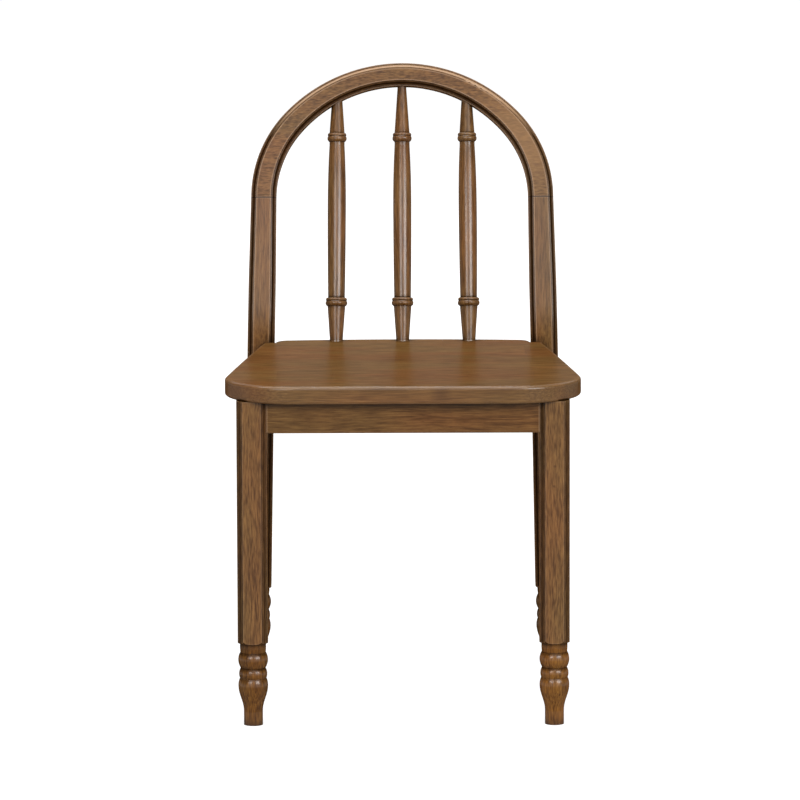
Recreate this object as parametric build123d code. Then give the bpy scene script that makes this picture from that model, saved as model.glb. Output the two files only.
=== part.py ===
from build123d import *

import math
import os

# A child's chair in stained wood: a plank seat on four legs, with a hooped back and three spindles.
# Sizes are in millimetres. X points right as seen from the front, Y to the back, Z up from the floor.
# The pieces are made with Y = 0 at the front faces of the front legs, and centred when they are written.

# Seat panel
seat_height = 310.0
seat_thickness = 16.0
seat_front_overhang = 16.0
seat_side_overhang = 19.1  # beyond the front legs, where the sides would meet the front edge
seat_rear_inset = 2.3  # inside the centre lines of the posts, at their front faces
seat_side_bow = 1.2
seat_front_corner_radius = 62.0
seat_rear_corner_radius = 5.0
tongue_side_length = 14.0  # between the posts
tongue_bow = 7.0
tongue_corner_radius = 13.0
tongue_clearance = 0.3
seat_top_round = 3.0
seat_bottom_round = 2.5

# Front legs
leg_side = 27.0
leg_spread = 296.8  # outer face to outer face
leg_moulding = 5.0  # width of the moulded corner
leg_quirk = 1.5  # step on each side of the ovolo

# Rear posts, each a leg and a back post in one length
frame_depth = 265.0  # front faces of the legs to front faces of the posts
post_side = 25.1
post_top_side = 23.4
post_inset = 3.6  # post centres inside the leg centres, at the height of the seat
post_splay = 1.2  # degrees, the posts close in towards the top
leg_rake = 8.3  # degrees, below the seat frame
back_rake = 12.0  # degrees, above the seat
knee_radius = 140.0
post_moulding = 5.0
post_quirk = 1.5
saw_allowance = 4.0  # cut off the ends of the posts when they are fitted

# Turned feet, from the floor up: heights of the parts, and how deep each is cut below the square
foot_base_height = 12.4
foot_vase_height = 23.7
foot_bulge_height = 6.5
foot_small_bead_height = 9.3
foot_ring_height = 14.3
foot_neck_height = 3.8
foot_collar_height = 4.3
foot_base_cut = 5.0
foot_bulge_cut = 0.2
foot_lower_groove_cut = 1.6
foot_small_bead_cut = 0.9
foot_upper_groove_cut = 2.4
foot_ring_cut = 0.2
foot_neck_cut = 2.1
foot_collar_cut = 1.8
foot_shoulder_allowance = 0.3

# Aprons
apron_height = 29.0
apron_edge_round = 1.5
front_apron_thickness = 15.0
front_apron_setback = 5.0
rear_apron_thickness = 14.0
side_apron_thickness = 13.0
side_apron_inset = 4.8  # apron centres inside the leg centres
tenon_thickness = 6.0
tenon_shoulder = 4.5
cross_tenon_length = 12.0
side_tenon_length = 9.0
mortise_clearance = 0.15

# Corner blocks and their screws
block_length = 46.0  # along each apron
block_height = 24.0
block_clearance = 1.5  # to the corner of the leg
seat_screw_inset = 15.0
apron_screw_inset = 24.0
apron_screw_height = 7.0  # first screw, above the underside of the block
apron_screw_step = 10.0  # second screw, above the first
screw_radius = 2.0
screw_head_radius = 3.8
screw_head_height = 2.6
screw_bite = 9.0
screw_grip = 12.0  # wood between head and apron
seat_screw_sink = 8.0
screw_pocket_clearance = 0.5
screw_hole_clearance = 0.1

# Arched top rail
joint_height = 440.0
arch_rise = 125.0
arch_crown_drop = 11.3  # how far the shoulders' radius falls short of the rise
arch_crown_width = 21.1
rail_dowel_radius = 3.0
rail_dowel_length = 34.0
rail_dowel_spacing = 9.0
dowel_clearance = 0.1
dowel_end_gap = 0.5

# Spindles: heights of the turned parts along the axis from the seat up, and their radii
spindle_spacing = 61.6  # at the seat
spindle_lean = 1.4  # how far a side spindle closes in over its length
spindle_foot_height = 32.1
spindle_bead_height = 5.0
spindle_ring_height = 2.8
spindle_belly_rise = 86.0
spindle_belly_fall = 56.0
spindle_neck_height = 3.2
spindle_collar_height = 5.4
spindle_collar_ring_height = 3.0
spindle_foot_radius = 5.95
spindle_bead_foot_radius = 8.2
spindle_bead_radius = 10.1
spindle_bead_top_radius = 9.3
spindle_ring_radius = 9.8
spindle_waist_radius = 7.8
spindle_belly_radius = 8.5
spindle_neck_radius = 7.0
spindle_collar_radius = 8.9
spindle_collar_top_radius = 8.2
spindle_collar_ring_radius = 8.6
spindle_shoulder_radius = 7.0
spindle_tip_radius = 4.0
spindle_tenon_radius = 3.7
spindle_seat_tenon = 11.0
spindle_rail_tenon = 9.0

# Places worked out from those sizes
seat_underside = seat_height - seat_thickness
apron_underside = seat_underside - apron_height
apron_middle = seat_underside - apron_height / 2
block_underside = seat_underside - block_height
leg_centre = (leg_spread - leg_side) / 2
leg_inner_face = leg_centre - leg_side / 2
post_seat_centre = leg_centre - post_inset
seat_front_half_width = leg_spread / 2 + seat_side_overhang
seat_rear_half_width = post_seat_centre - seat_rear_inset
post_centre_depth = frame_depth + post_side / 2
splay = math.radians(post_splay)
rake = math.radians(back_rake)
lower_rake = math.radians(leg_rake)
knee_top = seat_height + knee_radius * math.tan(rake / 2)
knee_bottom = apron_underside - knee_radius * math.tan(lower_rake / 2)
rear_foot_depth = post_centre_depth + knee_bottom * math.tan(lower_rake)
joint_depth = post_centre_depth + (joint_height - knee_top) * math.tan(rake)
side_apron_centre = leg_centre - side_apron_inset
side_apron_face = side_apron_centre - side_apron_thickness / 2
front_apron_depth = front_apron_setback + front_apron_thickness / 2
front_apron_back = front_apron_setback + front_apron_thickness
rear_apron_front = post_centre_depth - rear_apron_thickness / 2
seat_on_back = -(joint_height - seat_height) / math.cos(rake)
post_run = knee_radius * math.tan(rake / 2) + post_side  # knee to the end of the post's lower length
arch_reach = (arch_rise - post_moulding) * math.sin(rake)
back_reach = joint_depth + arch_reach + post_top_side / 2 * math.cos(rake)
middle_depth = (back_reach - seat_front_overhang) / 2

# The leaning plane in the middle of the back: its origin is level with the rail's joints, its Y runs up
back_plane = Plane(
    origin=(0, joint_depth, joint_height),
    x_dir=(1, 0, 0),
    z_dir=(0, -math.cos(rake), math.sin(rake)),
)
joint_plane = Plane(
    origin=(0, joint_depth, joint_height),
    x_dir=(1, 0, 0),
    z_dir=(0, math.sin(rake), math.cos(rake)),
)


def post_centre(height):
    """Distance of a post's centre line from the middle of the chair, at a height above the floor."""
    return post_seat_centre - (height - seat_height) * math.tan(splay)


def post_inner_face(height):
    """Distance of a post's inner face from the middle of the chair, up to the height of the seat."""
    return post_centre(height) - post_side / 2 / math.cos(splay)


def mirrored(piece):
    """The same piece on the other side of the chair."""
    return mirror(piece, about=Plane.YZ)


def on_both_sides(piece):
    """A piece of the right side together with its twin on the left."""
    return [piece, mirrored(piece)]


def round_bar(start, direction, length, radius):
    """A round bar from a point along a direction."""
    return extrude(Plane(origin=start, z_dir=direction) * Circle(radius), length)


# Moulded bars


def moulded_square(side, moulding, quirk):
    """Square section whose corners carry an ovolo between two quirks."""
    flat = side - 2 * moulding
    ovolo = side - 2 * quirk
    corners = RectangleRounded(ovolo, ovolo, moulding - quirk)
    return Rectangle(side, flat) + Rectangle(flat, side) + corners


def moulded_plank(plane, outline, side, moulding, quirk):
    """A plank cut to an outline, with an ovolo between two quirks along its long edges.

    outline(inset) gives the long lines of the face, drawn in by the inset, and its two sawn ends.
    """

    def layer(inset, half):
        long_lines, ends = outline(inset)
        return extrude(plane * make_face(long_lines + ends), half, both=True)

    core = layer(0, side / 2 - moulding)
    face = layer(moulding, side / 2)
    ovolo_half = side / 2 - quirk
    ovolo = layer(quirk, ovolo_half)
    end_middles = [plane.from_local_coords(end.center()) for end in outline(quirk)[1]]
    long_edges = [
        edge
        for broad_face in ovolo.faces().filter_by(plane)
        for edge in broad_face.edges()
        if not any(math.isclose((edge.center() - middle).length, ovolo_half) for middle in end_middles)
    ]
    return core + face + fillet(long_edges, moulding - quirk)


# Turned feet


def turning_envelope(side, moulding, top, below_floor):
    """What the lathe leaves of a leg: the turned foot, a rounded shoulder, and the square above it."""
    half = side / 2
    corner_reach = math.hypot(half, half - moulding)
    base = (half - foot_base_cut, foot_base_height)
    bulge = (half - foot_bulge_cut, base[1] + foot_vase_height)
    lower_groove = (half - foot_lower_groove_cut, bulge[1] + foot_bulge_height)
    small_bead = (half - foot_small_bead_cut, lower_groove[1] + foot_small_bead_height / 2)
    upper_groove = (half - foot_upper_groove_cut, lower_groove[1] + foot_small_bead_height)
    ring = (half - foot_ring_cut, upper_groove[1] + foot_ring_height / 2)
    neck = (half - foot_neck_cut, upper_groove[1] + foot_ring_height)
    collar = (half - foot_collar_cut, neck[1] + foot_neck_height)
    shoulder = (collar[0], collar[1] + foot_collar_height)
    rounding = corner_reach + foot_shoulder_allowance - collar[0]
    shoulder_top = (shoulder[0] + rounding, shoulder[1] + rounding)
    profile = [
        Polyline((0, top), (0, -below_floor), (base[0], -below_floor), base),
        Spline(base, bulge, tangents=[(0, 1), (0, 1)]),
        TangentArc(bulge, lower_groove, tangent=(0, 1)),
        ThreePointArc(lower_groove, small_bead, upper_groove),
        ThreePointArc(upper_groove, ring, neck),
        Polyline(neck, collar, shoulder),
        TangentArc(shoulder, shoulder_top, tangent=(1, 0)),
        Polyline(shoulder_top, (top, shoulder_top[1]), (top, top), (0, top)),
    ]
    return revolve(Plane.XZ * make_face(profile), Axis.Z)


# Seat frame: aprons with a tenon at each end


def cross_tenon_bar(depth, shoulder_face, grow=0.0):
    """The tenons of an apron across the chair, as one bar; with grow, their mortises."""
    length = 2 * (shoulder_face + cross_tenon_length + grow)
    height = apron_height - 2 * tenon_shoulder + 2 * grow
    return Pos(0, depth, apron_middle) * Box(length, tenon_thickness + 2 * grow, height)


def side_tenon_bar(grow=0.0):
    """The tenons of the right side apron, as one bar; with grow, their mortises."""
    front = leg_side - side_tenon_length - grow
    back = frame_depth + side_tenon_length + grow
    height = apron_height - 2 * tenon_shoulder + 2 * grow
    bar = Box(tenon_thickness + 2 * grow, back - front, height)
    return Pos(side_apron_centre, (front + back) / 2, apron_middle) * bar


def eased_below(apron):
    """Rounds the long lower edges of an apron."""
    lower_edges = apron.faces().sort_by(Axis.Z)[0].edges().sort_by(SortBy.LENGTH)
    return fillet(lower_edges[-2:], apron_edge_round)


front_tenon_bar = cross_tenon_bar(front_apron_depth, leg_inner_face)
front_mortises = cross_tenon_bar(front_apron_depth, leg_inner_face, mortise_clearance)
rear_tenon_bar = cross_tenon_bar(post_centre_depth, post_inner_face(apron_middle))
rear_mortises = cross_tenon_bar(post_centre_depth, post_inner_face(apron_middle), mortise_clearance)
side_mortises = side_tenon_bar(mortise_clearance)


def make_front_apron():
    """Apron between the front legs."""
    board = Box(2 * leg_inner_face, front_apron_thickness, apron_height)
    return eased_below(Pos(0, front_apron_depth, apron_middle) * board) + front_tenon_bar


def make_rear_apron():
    """Apron between the posts, its ends cut to their splay."""
    top = post_inner_face(seat_underside)
    bottom = post_inner_face(apron_underside)
    corners = [
        (top, seat_underside),
        (bottom, apron_underside),
        (-bottom, apron_underside),
        (-top, seat_underside),
    ]
    plane = Plane(origin=(0, post_centre_depth, 0), x_dir=(1, 0, 0), z_dir=(0, -1, 0))
    board = extrude(plane * make_face(Polyline(corners, close=True)), rear_apron_thickness / 2, both=True)
    return eased_below(board) + rear_tenon_bar


def make_side_apron():
    """Right side apron, from the front leg to the post."""
    board = Box(side_apron_thickness, frame_depth - leg_side, apron_height)
    placed = Pos(side_apron_centre, (frame_depth + leg_side) / 2, apron_middle) * board
    return eased_below(placed) + side_tenon_bar()


# Legs and posts


def make_front_leg():
    """Right front leg: a moulded square, turned at the foot, with mortises for two aprons."""
    bar = extrude(moulded_square(leg_side, leg_moulding, leg_quirk), seat_underside)
    leg = bar & turning_envelope(leg_side, leg_moulding, seat_underside, 0)
    return Pos(leg_centre, leg_side / 2, 0) * leg - front_mortises - side_mortises


def post_side_line(offset):
    """Side view of a post's face, at an offset in front of its centre line."""
    end_depth = rear_foot_depth + saw_allowance * math.sin(lower_rake)
    end_height = -saw_allowance * math.cos(lower_rake)
    foot = (end_depth - offset * math.cos(lower_rake), end_height - offset * math.sin(lower_rake))
    lower_knee = (post_centre_depth - offset, knee_bottom - offset * math.tan(lower_rake / 2))
    upper_knee = (post_centre_depth - offset, knee_top + offset * math.tan(rake / 2))
    top_depth = post_centre_depth + post_run * math.sin(rake)
    top_height = knee_top + post_run * math.cos(rake)
    top = (top_depth - offset * math.cos(rake), top_height + offset * math.sin(rake))
    return FilletPolyline(foot, lower_knee, upper_knee, top, radius=knee_radius + offset)


def post_outline(inset):
    """Side outline of a post from the floor to just above the knee."""
    front = post_side_line(post_side / 2 - inset)
    back = post_side_line(inset - post_side / 2)
    return [front, back], [Line(front @ 0, back @ 0), Line(front @ 1, back @ 1)]


def make_rear_post():
    """Right rear post: raked leg with a turned foot, plumb knee at the seat, tapered back post above."""
    lower = moulded_plank(Plane.YZ, post_outline, post_side, post_moulding, post_quirk)
    leg_plane = Plane(
        origin=(0, rear_foot_depth, 0),
        x_dir=(1, 0, 0),
        z_dir=(0, -math.sin(lower_rake), math.cos(lower_rake)),
    )
    leg_length = joint_height + post_side
    turned = turning_envelope(post_side, post_moulding, leg_length, saw_allowance)
    lower = lower & leg_plane.location * turned
    bottom_section = joint_plane.offset(post_run - (joint_height - knee_top) / math.cos(rake))
    top_section = joint_plane.offset(saw_allowance)
    upper = loft(
        [
            bottom_section * moulded_square(post_side, post_moulding, post_quirk),
            top_section * moulded_square(post_top_side, post_moulding, post_quirk),
        ],
        ruled=True,
    )
    tilt = Pos(post_seat_centre, 0, seat_height) * Rot(0, -post_splay, 0) * Pos(0, 0, -seat_height)
    post = split(tilt * (lower + upper), bisect_by=Plane.XY, keep=Keep.TOP)
    post = split(post, bisect_by=joint_plane, keep=Keep.BOTTOM)
    return post - rear_mortises - side_mortises - Compound(rail_dowels(dowel_clearance, dowel_end_gap))


# Arched top rail


def arch_curve(half_span, rise):
    """Half a hoop on two shoulders and a flatter crown, with upright ends, on the plane of the back."""
    shoulder_radius = rise - arch_crown_drop
    crown_radius = half_span + (half_span - rise) ** 2 / (2 * arch_crown_drop)
    reach = crown_radius / (crown_radius - shoulder_radius)
    meeting = ((half_span - shoulder_radius) * reach, (rise - crown_radius) * (1 - reach))
    opposite = (-meeting[0], meeting[1])
    return [
        TangentArc((half_span, 0), meeting, tangent=(0, 1)),
        ThreePointArc(meeting, (0, rise), opposite),
        TangentArc((-half_span, 0), opposite, tangent=(0, 1)),
    ]


rail_end_centre = post_centre(joint_height)
rail_end_half = post_top_side / 2 / math.cos(splay)
opening_half_span = rail_end_centre - rail_end_half
opening_rise = arch_rise - arch_crown_width


def arch_outline(inset):
    """Outline of the arched rail in the plane of the back."""
    outer = rail_end_centre + rail_end_half - inset
    inner = opening_half_span + inset
    ends = [Line((inner, 0), (outer, 0)), Line((-inner, 0), (-outer, 0))]
    return arch_curve(outer, arch_rise - inset) + arch_curve(inner, opening_rise + inset), ends


def opening_height(across):
    """Height of the rail's underside above its joints, under the crown."""
    crown_radius = opening_half_span + (opening_half_span - opening_rise) ** 2 / (2 * arch_crown_drop)
    return opening_rise - crown_radius + math.sqrt(crown_radius**2 - across**2)


def rail_dowels(grow=0.0, end_gap=0.0):
    """The two dowels of the right joint between post and rail; with grow, their holes."""
    length = rail_dowel_length + 2 * end_gap
    dowels = []
    for side in (-1, 1):
        place = back_plane * Pos(rail_end_centre + side * rail_dowel_spacing / 2, -length / 2)
        dowels.append(round_bar(place.position, joint_plane.z_dir, length, rail_dowel_radius + grow))
    return dowels


def make_arched_rail():
    """Hoop that joins the posts, sawn from one width, with bores for dowels and spindles."""
    rail = moulded_plank(back_plane, arch_outline, post_top_side, post_moulding, post_quirk)
    for hole in rail_dowels(dowel_clearance, dowel_end_gap):
        rail = rail - on_both_sides(hole)
    for across in spindle_places:
        rail = rail - spindle_tenon_bar(across, dowel_clearance, dowel_end_gap)
    return rail


# Spindles

spindle_places = (-spindle_spacing, 0, spindle_spacing)
spindle_length = opening_rise - seat_on_back


def spindle_axis(across):
    """Foot and head of a spindle's axis, on the seat and under the rail."""
    head_across = across * (1 - spindle_lean / spindle_spacing)
    foot = back_plane.from_local_coords(Vector(across, seat_on_back, 0))
    head = back_plane.from_local_coords(Vector(head_across, opening_height(head_across), 0))
    return foot, head


def spindle_tenon_bar(across, grow=0.0, end_gap=0.0):
    """Both round tenons of a spindle, as one bar; with grow, their bores."""
    foot, head = spindle_axis(across)
    direction = (head - foot).normalized()
    start = foot - direction * (spindle_seat_tenon + end_gap)
    length = (head - foot).length + spindle_seat_tenon + spindle_rail_tenon + 2 * end_gap
    return round_bar(start, direction, length, spindle_tenon_radius + grow)


def spindle_turning():
    """The turned form of a spindle, standing on the origin and run on past both its ends."""
    bead_foot = (spindle_bead_foot_radius, spindle_foot_height)
    bead = (spindle_bead_radius, bead_foot[1] + spindle_bead_height / 2)
    bead_top = (spindle_bead_top_radius, bead_foot[1] + spindle_bead_height)
    ring = (spindle_ring_radius, bead_top[1] + spindle_ring_height / 2)
    waist = (spindle_waist_radius, bead_top[1] + spindle_ring_height)
    belly = (spindle_belly_radius, waist[1] + spindle_belly_rise)
    neck = (spindle_neck_radius, belly[1] + spindle_belly_fall)
    collar_foot = (spindle_neck_radius, neck[1] + spindle_neck_height)
    collar = (spindle_collar_radius, collar_foot[1] + spindle_collar_height / 2)
    collar_top = (spindle_collar_top_radius, collar_foot[1] + spindle_collar_height)
    collar_ring = (spindle_collar_ring_radius, collar_top[1] + spindle_collar_ring_height / 2)
    shoulder = (spindle_shoulder_radius, collar_top[1] + spindle_collar_ring_height)
    start = -spindle_bead_radius
    end = spindle_length + spindle_tip_radius
    profile = [
        Polyline((0, end), (0, start), (spindle_foot_radius, start), (spindle_foot_radius, 0), bead_foot),
        ThreePointArc(bead_foot, bead, bead_top),
        ThreePointArc(bead_top, ring, waist),
        TangentArc(belly, waist, tangent=(0, -1)),
        TangentArc(belly, neck, tangent=(0, 1)),
        Line(neck, collar_foot),
        ThreePointArc(collar_foot, collar, collar_top),
        ThreePointArc(collar_top, collar_ring, shoulder),
        Polyline(shoulder, (spindle_tip_radius, spindle_length), (spindle_tip_radius, end), (0, end)),
    ]
    return revolve(Plane.XZ * make_face(profile), Axis.Z)


def make_spindle(across, turning, opening):
    """A spindle scribed to the seat and to the underside of the rail, with a tenon at each end."""
    foot, head = spindle_axis(across)
    placed = Plane(origin=foot, z_dir=head - foot).location * turning
    scribed = split(placed & opening, bisect_by=Plane.XY.offset(seat_height), keep=Keep.TOP)
    return scribed + spindle_tenon_bar(across)


def back_opening():
    """The space that the hoop closes off above the seat, deeper than the back."""
    right = opening_half_span
    below = seat_on_back - post_side
    bottom = Polyline((right, 0), (right, below), (-right, below), (-right, 0))
    return extrude(back_plane * make_face(arch_curve(right, opening_rise) + [bottom]), post_side, both=True)


# Corner blocks and screws


def screw(head_seat, direction, length):
    """A screw whose head bears on a point and whose shank runs along a direction."""
    shank = round_bar(head_seat, direction, length, screw_radius)
    head = round_bar(head_seat, direction * -1, screw_head_height, screw_head_radius)
    return shank + head


def screw_hole(head_seat, direction, length):
    """The hole for a screw, with the pocket for its head."""
    pocket_length = block_length
    shank = round_bar(head_seat, direction, length + dowel_end_gap, screw_radius + screw_hole_clearance)
    pocket = round_bar(head_seat, direction * -1, pocket_length, screw_head_radius + screw_pocket_clearance)
    return shank + pocket


def apron_screw_places(corner_depth, inward):
    """Head seats, directions and lengths of the two screws from a right block into its aprons."""
    low = block_underside + apron_screw_height
    cross_seat = Vector(side_apron_face - apron_screw_inset, corner_depth + inward * screw_grip, low)
    side_seat = Vector(
        side_apron_face - screw_grip, corner_depth + inward * apron_screw_inset, low + apron_screw_step
    )
    length = screw_grip + screw_bite
    return [(cross_seat, Vector(0, -inward, 0), length), (side_seat, Vector(1, 0, 0), length)]


def seat_screw_place(corner_depth, inward):
    """Head seat, direction and length of the screw from a right block up into the seat."""
    head_seat = Vector(
        side_apron_face - seat_screw_inset,
        corner_depth + inward * seat_screw_inset,
        block_underside + seat_screw_sink,
    )
    return head_seat, Vector(0, 0, 1), block_height - seat_screw_sink + screw_bite


def make_corner_block(corner_depth, inward, clip):
    """Right corner block in the angle of two aprons, its point cut off to clear the leg."""
    corners = [
        (side_apron_face - clip, corner_depth),
        (side_apron_face, corner_depth + inward * clip),
        (side_apron_face, corner_depth + inward * block_length),
        (side_apron_face - block_length, corner_depth),
    ]
    plan = Pos(0, 0, block_underside) * make_face(Polyline(corners, close=True))
    block = extrude(plan, block_height, dir=(0, 0, 1))
    for place in apron_screw_places(corner_depth, inward):
        block = block - screw_hole(*place)
    return block - screw_hole(*seat_screw_place(corner_depth, inward))


front_corner = (front_apron_back, 1)
rear_corner = (rear_apron_front, -1)
leg_side_step = side_apron_face - leg_inner_face
front_clip = leg_side_step + leg_side - front_apron_back + block_clearance
post_side_step = side_apron_face - post_inner_face(seat_underside)
rear_clip = post_side_step + rear_apron_front - frame_depth + block_clearance
apron_screws = apron_screw_places(*front_corner) + apron_screw_places(*rear_corner)
seat_screws = [seat_screw_place(*front_corner), seat_screw_place(*rear_corner)]


def with_screw_holes(piece, places):
    """A piece with the holes of the screws on both sides of the chair that end in it."""
    for head_seat, direction, length in places:
        hole = round_bar(head_seat, direction, length + dowel_end_gap, screw_radius + screw_hole_clearance)
        piece = piece - on_both_sides(hole)
    return piece


# Seat


def seat_outline():
    """Plan of the seat: bowed sides, rounded front corners, and a tongue that fills between the posts."""
    front = -seat_front_overhang
    notch = post_inner_face(seat_height) - tongue_clearance
    tongue_corner = frame_depth + tongue_side_length
    side_start = Vector(seat_front_half_width, front)
    side_end = Vector(seat_rear_half_width, frame_depth)
    outward = Vector(side_end.Y - side_start.Y, side_start.X - side_end.X).normalized()
    side_middle = (side_start + side_end) / 2 + outward * seat_side_bow
    right = [
        Line((0, front), side_start),
        ThreePointArc(side_start, side_middle, side_end),
        Polyline(side_end, (notch, frame_depth), (notch, tongue_corner)),
    ]
    tongue_tip = (0, tongue_corner + tongue_bow)
    tongue_end = ThreePointArc((notch, tongue_corner), tongue_tip, (-notch, tongue_corner))
    left = [mirrored(line) for line in right]
    plan = make_face(right + [tongue_end] + left)
    rounding = {
        front: (seat_front_corner_radius, seat_front_half_width),
        frame_depth: (seat_rear_corner_radius, seat_rear_half_width),
        tongue_corner: (min(tongue_corner_radius, tongue_side_length - tongue_clearance), notch),
    }
    for depth, (radius, across) in rounding.items():
        level = [corner for corner in plan.vertices() if math.isclose(corner.Y, depth)]
        plan = fillet([corner for corner in level if math.isclose(abs(corner.X), across)], radius)
    return plan


def make_seat():
    """Plank seat with eased edges, blind bores for the spindles and holes for the screws below."""
    seat = extrude(Pos(0, 0, seat_underside) * seat_outline(), seat_thickness, dir=(0, 0, 1))
    seat = fillet(seat.faces().sort_by(Axis.Z)[-1].edges(), seat_top_round)
    seat = fillet(seat.faces().sort_by(Axis.Z)[0].edges(), seat_bottom_round)
    for across in spindle_places:
        seat = seat - spindle_tenon_bar(across, dowel_clearance, dowel_end_gap)
    return with_screw_holes(seat, seat_screws)


# All pieces by name


def screws_on_both_sides(places):
    """The screws of the right side together with their twins on the left."""
    return Compound([twin for place in places for twin in on_both_sides(screw(*place))])


front_leg = make_front_leg()
rear_post = make_rear_post()
side_apron = with_screw_holes(make_side_apron(), apron_screws)
front_block = make_corner_block(*front_corner, front_clip)
rear_block = make_corner_block(*rear_corner, rear_clip)
turning = spindle_turning()
opening = back_opening()

pieces = {
    "seat_panel": make_seat(),
    "front_apron": with_screw_holes(make_front_apron(), apron_screws),
    "rear_apron": with_screw_holes(make_rear_apron(), apron_screws),
    "right_side_apron": side_apron,
    "left_side_apron": mirrored(side_apron),
    "right_front_leg": front_leg,
    "left_front_leg": mirrored(front_leg),
    "right_rear_post": rear_post,
    "left_rear_post": mirrored(rear_post),
    "arched_top_rail": make_arched_rail(),
    "left_spindle": make_spindle(spindle_places[0], turning, opening),
    "centre_spindle": make_spindle(spindle_places[1], turning, opening),
    "right_spindle": make_spindle(spindle_places[2], turning, opening),
    "right_front_corner_block": front_block,
    "left_front_corner_block": mirrored(front_block),
    "right_rear_corner_block": rear_block,
    "left_rear_corner_block": mirrored(rear_block),
    "right_rail_dowels": Compound(rail_dowels()),
    "left_rail_dowels": Compound([mirrored(dowel) for dowel in rail_dowels()]),
    "corner_block_screws": screws_on_both_sides(apron_screws),
    "seat_screws": screws_on_both_sides(seat_screws),
}

os.makedirs("parts", exist_ok=True)
for name, piece in pieces.items():
    export_step(Pos(0, -middle_depth, 0) * piece, f"parts/{name}.step")
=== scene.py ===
"""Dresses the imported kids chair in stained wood, bare wood and zinc, and sets up a plain studio."""

import logging
import math
from collections.abc import Callable
from dataclasses import dataclass, field
from enum import Enum

import bmesh
import bpy
from mathutils import Euler, Matrix, Quaternion, Vector


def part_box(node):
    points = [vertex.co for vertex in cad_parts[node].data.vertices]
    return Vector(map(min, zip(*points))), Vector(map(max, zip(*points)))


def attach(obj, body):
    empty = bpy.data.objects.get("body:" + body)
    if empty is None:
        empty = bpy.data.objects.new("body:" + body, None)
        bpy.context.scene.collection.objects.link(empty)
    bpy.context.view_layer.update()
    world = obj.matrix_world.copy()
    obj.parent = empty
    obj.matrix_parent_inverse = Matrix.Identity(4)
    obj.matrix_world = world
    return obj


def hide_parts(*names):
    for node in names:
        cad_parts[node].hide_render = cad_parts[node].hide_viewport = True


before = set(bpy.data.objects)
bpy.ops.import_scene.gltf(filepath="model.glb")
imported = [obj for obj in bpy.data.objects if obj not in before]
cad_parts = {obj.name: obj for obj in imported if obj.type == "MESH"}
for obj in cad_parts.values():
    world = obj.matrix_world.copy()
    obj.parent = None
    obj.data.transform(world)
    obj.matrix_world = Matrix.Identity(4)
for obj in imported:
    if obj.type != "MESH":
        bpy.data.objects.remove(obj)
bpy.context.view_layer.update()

LOG = logging.getLogger("kids_chair")
MM = 0.001
BACK_RAKE = 12.0
REAR_LEG_RAKE = -8.3
FOOT_HEIGHT = 74.3 * MM
ROOT = "root"

Triple = tuple[float, float, float]
Socket = bpy.types.NodeSocket


class Grain(Enum):
    """The way the fibres of a piece run, as the turn that brings X onto them."""

    ACROSS = (0.0, 0.0, 0.0)
    UPRIGHT = (0.0, -90.0, 0.0)
    FRONT_TO_BACK = (0.0, 0.0, 90.0)
    SLANT_RIGHT = (0.0, 0.0, 45.0)
    SLANT_LEFT = (0.0, 0.0, -45.0)

    def turn(self, rake: float) -> Euler:
        """The turn as angles, for a piece that leans back.

        Args:
            rake: Lean of the piece towards the back, in degrees.

        Returns:
            The rotation from X onto the fibres.
        """
        own = Euler([math.radians(angle) for angle in self.value]).to_matrix()
        lean = Matrix.Rotation(-math.radians(rake), 3, "X")
        return (lean @ own).to_euler()


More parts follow.
